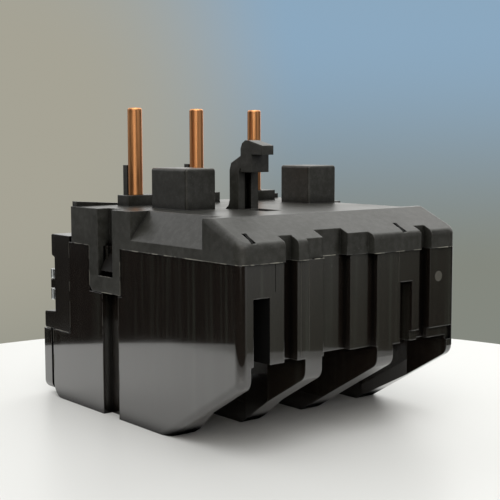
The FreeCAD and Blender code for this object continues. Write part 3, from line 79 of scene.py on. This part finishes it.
# materials
class Graph:  # short way to write node trees
    def __init__(self, name):
        self.material = bpy.data.materials.new(name)
        self.material.use_nodes = True
        self.tree = self.material.node_tree
        self.shader = next(n for n in self.tree.nodes if n.type == "BSDF_PRINCIPLED")
        self.place = self.add("ShaderNodeTexCoord").outputs["Object"]

    def add(self, kind, links=None, **values):
        node = self.tree.nodes.new(kind)
        for key, value in values.items():
            setattr(node, key, value)
        for key, value in (links or {}).items():
            self.feed(node.inputs[key], value)
        return node

    def feed(self, socket, value):
        if isinstance(value, bpy.types.NodeSocket):
            self.tree.links.new(value, socket)
        else:
            socket.default_value = value

    def set(self, **values):
        names = {"color": "Base Color", "metallic": "Metallic", "roughness": "Roughness",
                 "normal": "Normal", "specular": "Specular IOR Level", "coat": "Coat Weight",
                 "coatRoughness": "Coat Roughness", "transmission": "Transmission Weight",
                 "ior": "IOR"}
        for key, value in values.items():
            self.feed(self.shader.inputs[names[key]], value)

    def stretched(self, scale):
        return self.add("ShaderNodeMapping", {"Vector": self.place, "Scale": scale}).outputs[0]

    def noise(self, scale, detail=4.0, rough=0.55, vector=None):
        return self.add("ShaderNodeTexNoise", {"Vector": vector or self.place, "Scale": scale,
                                               "Detail": detail, "Roughness": rough}).outputs["Fac"]

    def ramp(self, source, low, high, dark, light):
        node = self.add("ShaderNodeMapRange", {"Value": source, "From Min": low, "From Max": high,
                                               "To Min": dark, "To Max": light})
        return node.outputs[0]

    def mix(self, share, first, second):
        node = self.add("ShaderNodeMix", data_type="RGBA")
        self.feed(node.inputs[0], share)
        self.feed(node.inputs[6], first)
        self.feed(node.inputs[7], second)
        return node.outputs[2]

    def sum(self, first, second, kind="ADD"):
        return self.add("ShaderNodeMath", {0: first, 1: second}, operation=kind).outputs[0]

    def rounded(self, radius):  # soft highlight along moulded edges
        return self.add("ShaderNodeBevel", {"Radius": radius}, samples=6).outputs[0]

    def bump(self, height, strength, distance, normal=None):
        links = {"Height": height, "Strength": strength, "Distance": distance}
        if normal is not None:
            links["Normal"] = normal
        return self.add("ShaderNodeBump", links).outputs[0]

    def edges(self, radius, low=0.02, high=0.25):
        # mask for a painted edge highlight: 1 on sharp edges that look up or down, less on upright
        # ones
        soft = self.rounded(radius)
        flat = self.add("ShaderNodeNewGeometry").outputs["Normal"]
        dot = self.add("ShaderNodeVectorMath", {0: soft, 1: flat}, operation="DOT_PRODUCT")
        sharp = self.ramp(dot.outputs["Value"], 1 - low, 1 - high, 0.0, 1.0)
        lift = self.sum(self.add("ShaderNodeSeparateXYZ", {0: soft}).outputs[2], 0.0, "ABSOLUTE")
        return self.sum(sharp, self.ramp(lift, 0.08, 0.4, 0.18, 1.0), "MULTIPLY")


flowColor = (0.05, 0.056, 0.046, 1)
# near-black colour of the painted shade in recesses
recessShadeColor = (0.001, 0.001, 0.001, 1)


def mouldedPlastic(name, color, roughness, grain=0.25, grainScale=9000, coat=0.0, edgeLight=0.06,
                   edgeRadius=0.0003, mottle=0.15, specular=0.5, waves=0.0, dust=0.3, recess=None,
                   sink=None, streaks=0.0, blotches=0.0):
    g = Graph(name)
    broad = g.noise(60, 3)
    fine = g.noise(grainScale, 2)
    specks = g.ramp(g.noise(2600, 2), 0.68, 0.74, 0.0, dust)
    # mask for the painted edge highlight
    edgeHighlight = g.edges(edgeRadius)
    base = tuple(color) + (1,)
    darker = tuple(c * (1 - mottle) for c in color) + (1,)
    lighter = tuple(min(1, c + edgeLight) for c in color) + (1,)
    tone = g.mix(g.ramp(broad, 0.35, 0.65, 0.0, 1.0), darker, base)
    if streaks:  # faint upright flow lines
        flow = g.noise(1.0, 4, vector=g.stretched((700, 700, 14)))
        tone = g.mix(g.ramp(flow, 0.5, 0.75, 0.0, streaks), tone, flowColor)
    if blotches:
        patchy = g.noise(620, 5, 0.72)
        tone = g.mix(g.ramp(patchy, 0.42, 0.72, 0.0, blotches), tone, lighter)
        tone = g.mix(g.ramp(patchy, 0.28, 0.5, blotches, 0.0), tone, darker)
    tone = g.mix(specks, tone, lighter)
    # painted highlight: sharp edges, broken into patches, are lightened
    patches = g.ramp(g.noise(420, 4, 0.7), 0.42, 0.62, 0.0, 1.0)
    tone = g.mix(g.sum(edgeHighlight, patches, "MULTIPLY"), tone, lighter)
    rough = g.sum(g.ramp(broad, 0.3, 0.7, roughness * 0.85, roughness * 1.15),
                  g.ramp(fine, 0.3, 0.7, -0.02, 0.02))
    normal = g.rounded(edgeRadius)
    if waves:
        normal = g.bump(g.noise(45, 2), waves, 0.0006, normal)
    if sink:  # the wall leans a little near its rear end
        start, end, lean = sink
        place = g.add("ShaderNodeSeparateXYZ", {0: g.place}).outputs
        rearward = g.ramp(place[1], start, end, 0.0, 1.0)
        height = g.sum(g.sum(place[2], rearward, "MULTIPLY"), -lean, "MULTIPLY")
        normal = g.bump(height, 1.0, 1.0, normal)
    normal = g.bump(fine, grain, 0.00003, normal)
    if recess:  # painted shade: deep places are darkened towards near black and get no gloss
        reach, low, high = recess
        around = g.add("ShaderNodeAmbientOcclusion", {"Distance": reach}, samples=6)
        bared = g.ramp(around.outputs["AO"], low, high, 0.0, 1.0)
        tone = g.mix(bared, recessShadeColor, tone)
        specular = g.sum(bared, specular, "MULTIPLY")
        coat = g.sum(bared, coat, "MULTIPLY") if coat else coat
    g.set(color=tone, roughness=rough, normal=normal, specular=specular, coat=coat,
          coatRoughness=0.04)
    return g.material


def drawnMetal(name, color, roughness, scale, tint=0.2, bump=0.25):
    g = Graph(name)
    streaks = g.noise(1.0, 4, vector=g.stretched(scale))
    broad = g.noise(1.0, 3, vector=g.stretched(tuple(0.12 * part for part in scale)))
    dull = tuple(c * (1 - tint) for c in color) + (1,)
    bright = tuple(min(1, c * (1 + tint * 0.6)) for c in color) + (1,)
    tone = g.mix(g.ramp(streaks, 0.3, 0.7, 0.0, 1.0), dull, bright)
    tone = g.mix(g.ramp(broad, 0.55, 0.8, 0.0, 0.45), tone, tuple(c * 0.6 for c in color) + (1,))
    rough = g.sum(g.ramp(streaks, 0.3, 0.7, roughness * 0.8, roughness * 1.3),
                  g.ramp(broad, 0.3, 0.7, -0.03, 0.05))
    g.set(color=tone, metallic=1.0, roughness=rough,
          normal=g.bump(streaks, bump, 0.00003, g.rounded(0.0002)))
    return g.material


finishes = {
    "coverPlastic": mouldedPlastic("coverPlastic", (0.027, 0.0268, 0.0222), 0.38, grain=0.5,
                                   grainScale=4200, edgeLight=0.16, mottle=0.25,
                                   recess=(0.004, 0.35, 0.75), blotches=0.16),
    "basePlastic": mouldedPlastic("basePlastic", (0.012, 0.009, 0.007), 0.09, grain=0.04, coat=1.0,
                                  edgeLight=0.15, waves=0.03, specular=0.9,
                                  recess=(0.004, 0.45, 0.9), sink=(0.018, 0.0435, 0.016),
                                  streaks=0.4),
    "flash": mouldedPlastic("flash", (0.34, 0.33, 0.28), 0.5, grain=0.2, edgeLight=0.10),
    "mark": mouldedPlastic("mark", (0.085, 0.082, 0.068), 0.45, grain=0.2, edgeLight=0.05),
    "shade": mouldedPlastic("shade", (0.004, 0.004, 0.004), 0.7,
                            grain=0.1, edgeLight=0.01, specular=0.1),
    "panelPlastic": mouldedPlastic("panelPlastic", (0.013, 0.011, 0.009), 0.22, grain=0.2,
                                   grainScale=6000, edgeLight=0.14, recess=(0.004, 0.35, 0.75)),
    # dull dark finish of the catch skins: painted shade that cuts their gloss
    "catchShadeSkin": mouldedPlastic("catchShadeSkin", (0.010, 0.009, 0.008), 0.6, edgeLight=0.02,
                                   specular=0.15),
    "copper": drawnMetal("copper", (0.95, 0.41, 0.17), 0.36, (2600, 2600, 60), tint=0.3, bump=0.06),
    "plate": drawnMetal("plate", (0.66, 0.66, 0.63), 0.30, (900, 900, 900), tint=0.12),
    "steel": drawnMetal("steel", (0.60, 0.60, 0.61), 0.26, (2500, 2500, 120), tint=0.12),
    "brass": drawnMetal("brass", (0.80, 0.62, 0.30), 0.28, (900, 200, 900), tint=0.15),
    "bimetalStrip": drawnMetal("bimetalStrip", (0.52, 0.49, 0.45), 0.34, (500, 60, 2600), tint=0.15),
    "heaterRibbon": drawnMetal("heaterRibbon", (0.36, 0.34, 0.33), 0.42, (400, 400, 400), tint=0.25),
    "dialPlastic": mouldedPlastic("dialPlastic", (0.78, 0.77, 0.72), 0.38,
                                  grain=0.15, edgeLight=0.05),
    "resetPlastic": mouldedPlastic("resetPlastic", (0.02, 0.10, 0.42), 0.36,
                                   grain=0.15, edgeLight=0.08),
    "stopPlastic": mouldedPlastic("stopPlastic", (0.55, 0.025, 0.02), 0.36,
                                  grain=0.15, edgeLight=0.08),
    "indicatorPlastic": mouldedPlastic("indicatorPlastic", (0.80, 0.52, 0.04), 0.40,
                                       grain=0.15, edgeLight=0.05),
    "mechanismPlastic": mouldedPlastic("mechanismPlastic", (0.66, 0.62, 0.50), 0.45,
                                       grain=0.2, edgeLight=0.05),
}


def clearPlastic():
    g = Graph("clearPlastic")
    cloudy = g.noise(120, 4)
    scratches = g.ramp(g.noise(1.0, 2, vector=g.stretched((300, 300, 6000))), 0.62, 0.7, 0.0, 1.0)
    g.set(color=(0.62, 0.64, 0.64, 1), transmission=0.9, ior=1.50,
          roughness=g.sum(g.ramp(cloudy, 0.3, 0.7, 0.04, 0.10), g.sum(scratches, 0.12, "MULTIPLY")),
          normal=g.bump(g.noise(70, 2), 0.1, 0.0003, g.rounded(0.0003)))
    return g.material


finishes["clearPlastic"] = clearPlastic()
wearing = {
    "base_housing": "basePlastic", "top_cover": "coverPlastic", "front_panel": "panelPlastic",
    "terminal_shroud": "basePlastic", "sealing_cover": "clearPlastic", "cover_hinge_pin": "steel",
    "current_dial": "dialPlastic", "reset_button": "resetPlastic", "stop_button": "stopPlastic",
    "reset_spring": "steel", "stop_spring": "steel", "trip_indicator": "indicatorPlastic",
    "main_slider": "mechanismPlastic", "differential_slider": "mechanismPlastic",
    "compensation_lever": "mechanismPlastic", "compensation_pivot": "steel",
    "trip_lever": "mechanismPlastic",
    "trip_pivot": "steel", "moving_contact": "brass", "line_pin": "copper", "load_strap": "copper",
    "bimetal": "bimetalStrip", "heater_winding": "heaterRibbon", "terminal_cage": "plate",
    "terminal_screw": "plate", "aux_terminal": "brass", "aux_washer": "plate", "aux_screw": "plate",
}
for label, node in nodes.items():
    kind = label if label in wearing else label.rsplit("_", 1)[0]
    material = finishes[wearing[kind]]
    if not node.material_slots:
        node.data.materials.append(material)
    for slot in node.material_slots:
        slot.material = material
print("finishes on", len(nodes), "nodes")

# small moulding details
baseHigh = Vector(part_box("base_housing")[1])
coverHigh = Vector(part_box("top_cover")[1])
near = 2e-5  # how close two places count as one


def newPiece(name, bm, finish, body):
    mesh = bpy.data.meshes.new(name)
    bm.to_mesh(mesh)
    bm.free()
    piece = bpy.data.objects.new(name, mesh)
    scene.collection.objects.link(piece)
    mesh.materials.append(finishes[finish])
    for face in mesh.polygons:
        face.use_smooth = False
    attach(piece, body)


def addTube(bm, start, end, radius, sides=6):
    way = end - start
    turn = way.to_track_quat("Z", "Y").to_matrix().to_4x4()
    place = Matrix.Translation((start + end) / 2) @ turn
    bmesh.ops.create_cone(bm, cap_ends=True, segments=sides, radius1=radius, radius2=radius * 0.8,
                          depth=way.length, matrix=place)


sharpAngle = 0.35
flash = {"thick": (0.00003, 0.00011), "piece": (0.0004, 0.0028), "missing": 0.30}
# sizes of the beads that are partly edge wear, partly painted edge highlight
wearAndHighlight = {"thick": (0.00003, 0.00009), "piece": (0.0006, 0.0040), "missing": 0.30}
edgePlaces = {"rearBand": 0.0042, "rimBand": 0.001, "latchTop": 0.0002, "grooveLength": 0.012,
              "ledgeInset": 0.0001, "ledgeTop": 0.026}


def sharpEdges(node):  # a part's real edges, without the lines inside its flat faces
    welded = bmesh.new()
    welded.from_mesh(nodes[node].data)
    bmesh.ops.remove_doubles(welded, verts=welded.verts[:], dist=1e-6)
    found = [(edge.verts[0].co.copy(), edge.verts[1].co.copy()) for edge in welded.edges
             if len(edge.link_faces) == 2 and edge.calc_face_angle(0) > sharpAngle]
    welded.free()
    return found


def edgeRun(name, node, chosen, setup, finish):  # broken thin beads along some of a part's edges: moulding flash and wear, and along the cover rim, latch, grooves and ledge also painted edge highlight
    bm = bmesh.new()
    for start, end in sharpEdges(node):
        if not chosen(start, end):
            continue
        run, length = 0.0, (end - start).length
        while run < length - 1e-5:
            step = min(random.uniform(*setup["piece"]), length - run)
            if random.random() > setup["missing"]:
                addTube(bm, start.lerp(end, run / length), start.lerp(end, (run + step) / length),
                        random.uniform(*setup["thick"]))
            run += step
    newPiece(name, bm, finish, "housing")


def level(start, end, height):
    return abs(start.z - height) < near and abs(end.z - height) < near


def onSide(start, end, reach):
    return min(abs(start.x), abs(end.x)) > reach - near


def makeEdges(places):
    top = baseHigh.z
    rear = baseHigh.y - places["rearBand"]
    rim = coverHigh.y - places["rimBand"]
    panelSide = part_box("front_panel")[1][0] - places["ledgeInset"]
    edgeRun("partingFlash", "base_housing",
            lambda a, b: level(a, b, top) and min(a.y, b.y) > rear, flash, "flash")
    # the rim, latch, groove and ledge beads are partly flash and wear, partly painted edge highlight
    edgeRun("rimFlashAndHighlight", "top_cover",
            lambda a, b: level(a, b, top) and (min(a.y, b.y) > rim or onSide(a, b, coverHigh.x)),
            flash, "flash")
    edgeRun("latchWearAndHighlight", "top_cover",
            lambda a, b: (onSide(a, b, coverHigh.x) and not level(a, b, top)
                          and max(a.z, b.z) < top + places["latchTop"]), wearAndHighlight, "flash")
    edgeRun("grooveWearAndHighlight", "base_housing",
            lambda a, b: onSide(a, b, baseHigh.x) and abs(a.z - b.z) > places["grooveLength"],
            wearAndHighlight, "mark")
    edgeRun("ledgeWearAndHighlight", "front_panel",
            lambda a, b: (onSide(a, b, panelSide) and abs(a.z - b.z) < near
                          and a.z < places["ledgeTop"]), wearAndHighlight, "flash")


def overlay(name, node, chosen, lift, finish):  # a skin on some of a part's faces
    mesh = nodes[node].data
    bm = bmesh.new()
    for face in mesh.polygons:
        if chosen(face.center, face.normal):
            corners = [mesh.vertices[i].co + face.normal * lift for i in face.vertices]
            bm.faces.new([bm.verts.new(corner) for corner in corners])
    newPiece(name, bm, finish, "housing")


ridges = {"light": [(0.0174, 0.0215, 0.0428), (0.0149, 0.0225, 0.0425), (-0.0141, 0.0355, 0.0430)],
          "dark": [(0.0249, 0.0367, 0.0430)], "wide": 0.00012, "proud": 0.00003}


def makeRidges(setup):  # witness lines of the mould's inserts
    for name, finish in (("light", "mark"), ("dark", "shade")):
        bm = bmesh.new()
        for x, low, high in setup[name]:
            made = bmesh.ops.create_cube(bm, size=1.0)["verts"]
            size = Vector((setup["wide"], 2 * setup["proud"], high - low))
            for vert in made:
                vert.co = vert.co * size + Vector((x, baseHigh.y, (low + high) / 2))
        newPiece(name + "WitnessLines", bm, finish, "housing")


ejector = {"places": [(-0.0284, 0.0359)], "radius": 0.00125, "sides": 32,
           # share of the radius, height over the wall
           "rings": [(0.62, 0.00005), (0.86, 0.00002), (0.9, 0.00007), (1.0, 0.00006), (1.05, 0.0)]}


def makeEjectorMarks(setup):
    bm = bmesh.new()
    sides = setup["sides"]
    for x, z in setup["places"]:
        last = None
        for share, proud in setup["rings"]:
            loop = []
            for step in range(sides):
                turn = math.tau * step / sides
                loop.append(bm.verts.new((x + setup["radius"] * share * math.cos(turn),
                                          baseHigh.y + proud,
                                          z + setup["radius"] * share * math.sin(turn))))
            if last is None:
                bm.faces.new(loop)
            else:
                for step in range(sides):
                    beside = (step + 1) % sides
                    bm.faces.new((last[step], last[beside], loop[beside], loop[step]))
            last = loop
    bmesh.ops.recalc_face_normals(bm, faces=bm.faces[:])
    newPiece("ejectorMarks", bm, "mark", "housing")


slits = {"places": [(0.0307, 0.0007), (-0.0164, 0.0007)], "front": 0.0046, "rear": 0.0006,
         "proud": 0.00002, "run": 0.0114, "fall": 0.0052, "ridge": 0.0095,
         "corners": [(-1.3, "front"), (-0.3, "front"), (1.3, "rear"), (0.3, "rear")]}


def makeSlits(setup):  # painted shade: dark skins on the rear slope that widen the mouths of its two slits
    bm = bmesh.new()
    slope = Vector((0, setup["run"], -setup["fall"])).normalized()
    lift = Vector((0, setup["fall"], setup["run"])).normalized()
    ridge = Vector((0, coverHigh.y - setup["run"], baseHigh.z + setup["ridge"]))
    for x, half in setup["places"]:
        loop = []
        for across, back in setup["corners"]:
            run = (coverHigh.y - setup[back] - ridge.y) / slope.y
            aside = Vector((x + across * half, 0, 0))
            loop.append(bm.verts.new(ridge + slope * run + lift * setup["proud"] + aside))
        bm.faces.new(loop)
    newPiece("slitMouthShade", bm, "shade", "housing")


catch = {"heights": (0.0365, 0.0425), "beyond": 0.030, "up": 0.2, "side": 0.4, "lift": 0.00003}
# near-black skin on the pocket wall seen through the window: painted shade
depth = {"wall": 0.0265, "close": 1e-4, "side": 0.9, "lift": 0.00002}


def onCatch(middle, way):
    low, high = catch["heights"]
    return (low < middle.z < high and abs(middle.x) > catch["beyond"]
            and way.z > catch["up"] and abs(way.x) > catch["side"])


def inWindow(middle, way):
    return abs(middle.x - depth["wall"]) < depth["close"] and way.x > depth["side"]


makeEdges(edgePlaces)
# dark matte skin on the catch faces: painted shade that cuts their gloss
overlay("catchFaces", "base_housing", onCatch, catch["lift"], "catchShadeSkin")
# painted shade on the pocket wall behind the window
overlay("windowShade", "base_housing", inWindow, depth["lift"], "shade")
makeRidges(ridges)
makeEjectorMarks(ejector)
makeSlits(slits)


dialScale = {"ticks": 13, "sweep": 240, "inner": 0.76, "outer": 0.93, "long": 0.06, "every": 3,
             "wide": 0.00014, "proud": 0.00006, "numbers": ["60", "66", "72", "78", "84"],
             "size": 0.0010, "ring": 0.56}


def makeDialScale(setup):  # printed scale on the dial
    low, high = (Vector(corner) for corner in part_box("current_dial"))
    middle, radius = (low + high) / 2, (high.x - low.x) / 2
    bm = bmesh.new()

    def bar(turn, inner, outer, wide):
        along = Vector((math.sin(turn), 0, math.cos(turn)))
        across = Vector((math.cos(turn), 0, -math.sin(turn)))
        start = Vector((middle.x, low.y, middle.z))
        rim = [start + along * inner - across * wide / 2, start + along * inner + across * wide / 2,
               start + along * outer + across * wide / 2, start + along * outer - across * wide / 2]
        under = [bm.verts.new(point) for point in rim]
        over = [bm.verts.new(point - Vector((0, setup["proud"], 0))) for point in rim]
        bm.faces.new(over)
        for step in range(4):
            bm.faces.new((under[step], under[(step + 1) % 4], over[(step + 1) % 4], over[step]))

    for step in range(setup["ticks"]):
        turn = math.radians(setup["sweep"] * (step / (setup["ticks"] - 1) - 0.5))
        inner = setup["inner"] - (setup["long"] if step % setup["every"] == 0 else 0.0)
        bar(turn, radius * inner, radius * setup["outer"], setup["wide"])
    for step, label in enumerate(setup["numbers"]):
        turn = math.radians(setup["sweep"] * (step / (len(setup["numbers"]) - 1) - 0.5))
        words = bpy.data.curves.new("number", "FONT")
        words.body, words.size, words.extrude = label, setup["size"], setup["proud"] / 2
        words.align_x, words.align_y = "CENTER", "CENTER"
        words.resolution_u = 3
        shown = bpy.data.objects.new("number", words)
        scene.collection.objects.link(shown)
        flat = bpy.data.meshes.new_from_object(shown)
        spot = Vector((middle.x + radius * setup["ring"] * math.sin(turn), low.y - setup["proud"] / 2,
                       middle.z + radius * setup["ring"] * math.cos(turn)))
        flat.transform(Matrix.Translation(spot) @ Matrix.Rotation(turn, 4, "Y")
                       @ Matrix.Rotation(math.pi / 2, 4, "X"))
        bm.from_mesh(flat)
        bpy.data.objects.remove(shown)
    bmesh.ops.recalc_face_normals(bm, faces=bm.faces[:])
    newPiece("dialScale", bm, "shade", "dial")


makeDialScale(dialScale)


def makeSpring(name, node):  # a copy of the spring's coil on the housing, in place of the spring part
    coil = bpy.data.objects.new(name, nodes[node].data.copy())
    scene.collection.objects.link(coil)
    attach(coil, "housing")
    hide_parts(node)
    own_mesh(coil)


makeSpring("resetCoil", "reset_spring")
makeSpring("stopCoil", "stop_spring")
print("moulding details made")

# floor and light
stageSetup = {
    "floor": (0.75, 0.755, 0.745), "radius": 0.1375, "middle": (0.0124, 0.0156), "lip": 0.003,
    "zenith": (0.26, 0.39, 0.52), "horizon": (0.225, 0.238, 0.205), "rise": (-0.12, 0.10),
    "warm": ((-0.419, -0.903, 0.02), (0.955, 0.998), (0.38, 0.365, 0.30)),
    "room": (0.012, 0.012, 0.012),
    # softboxes as seen from the part: direction, spread (cosines), colour
    "glows": [((-0.52, 0.85, 0.0), (0.92, 0.992), (0.155, 0.165, 0.132)),
              ((-0.70, -0.50, 0.50), (0.66, 0.93), (1.45, 1.45, 1.41)),
              ((0.10, 0.25, 0.96), (0.70, 0.98), (2.6, 2.6, 2.55)),
              ((0.35, -0.80, 0.50), (0.80, 0.97), (1.0, 1.0, 1.0)),
              ((-0.45, 0.85, 0.30), (0.85, 0.98), (0.5, 0.5, 0.52)),
              ((0.62, 0.66, 0.42), (0.84, 0.985), (2.1, 2.0, 1.85))],
}


def makeFloor(setup):  # a low round table
    mesh = bpy.data.meshes.new("floor")
    bm = bmesh.new()
    bmesh.ops.create_circle(bm, cap_ends=True, segments=180, radius=setup["radius"])
    top = bm.faces[:]
    lip = bmesh.ops.extrude_face_region(bm, geom=top)
    bmesh.ops.translate(bm, verts=[v for v in lip["geom"] if isinstance(v, bmesh.types.BMVert)],
                        vec=(0, 0, -setup["lip"] * 4))
    bmesh.ops.translate(bm, verts=bm.verts[:], vec=(setup["middle"][0], setup["middle"][1], 0))
    bmesh.ops.recalc_face_normals(bm, faces=bm.faces[:])
    bm.to_mesh(mesh)
    bm.free()
    floor = bpy.data.objects.new("floor", mesh)
    scene.collection.objects.link(floor)
    soften = floor.modifiers.new("soften", "BEVEL")
    soften.width, soften.segments = setup["lip"], 5
    g = Graph("tableTop")
    g.set(color=tuple(setup["floor"]) + (1,), roughness=0.38, specular=0.3)
    mesh.materials.append(g.material)


def makeWorld(setup):
    world = bpy.data.worlds.new("studio")
    world.use_nodes = True
    tree = world.node_tree

    def node(kind, links=None, **values):
        made = tree.nodes.new(kind)
        for key, value in values.items():
            setattr(made, key, value)
        for key, value in (links or {}).items():
            if isinstance(value, bpy.types.NodeSocket):
                tree.links.new(value, made.inputs[key])
            else:
                made.inputs[key].default_value = value
        return made

    def blend(share, first, second):
        return node("ShaderNodeMix", {0: share, 6: first, 7: second}, data_type="RGBA").outputs[2]

    sight = node("ShaderNodeTexCoord").outputs["Generated"]
    high = node("ShaderNodeSeparateXYZ", {0: sight}).outputs[2]
    low, top = setup["rise"]
    lift = node("ShaderNodeMapRange", {0: high, 1: low, 2: top},
                interpolation_type="SMOOTHSTEP").outputs[0]

    def glow(under, way, spread, color):
        facing = node("ShaderNodeVectorMath", {0: sight, 1: Vector(way).normalized()},
                      operation="DOT_PRODUCT")
        share = node("ShaderNodeMapRange", {0: facing.outputs["Value"], 1: spread[0], 2: spread[1]},
                     interpolation_type="SMOOTHSTEP").outputs[0]
        return blend(share, under, tuple(color) + (1,))

    backdrop = blend(lift, tuple(setup["horizon"]) + (1,), tuple(setup["zenith"]) + (1,))
    backdrop = glow(backdrop, *setup["warm"])
    light = tuple(setup["room"]) + (1,)
    for lobe in setup["glows"]:
        light = glow(light, *lobe)
    seen = node("ShaderNodeLightPath").outputs["Is Camera Ray"]
    tree.links.new(blend(seen, light, backdrop), tree.nodes["Background"].inputs[0])
    scene.world = world


makeFloor(stageSetup)
makeWorld(stageSetup)
scene.view_settings.view_transform = "Standard"
print("stage set")
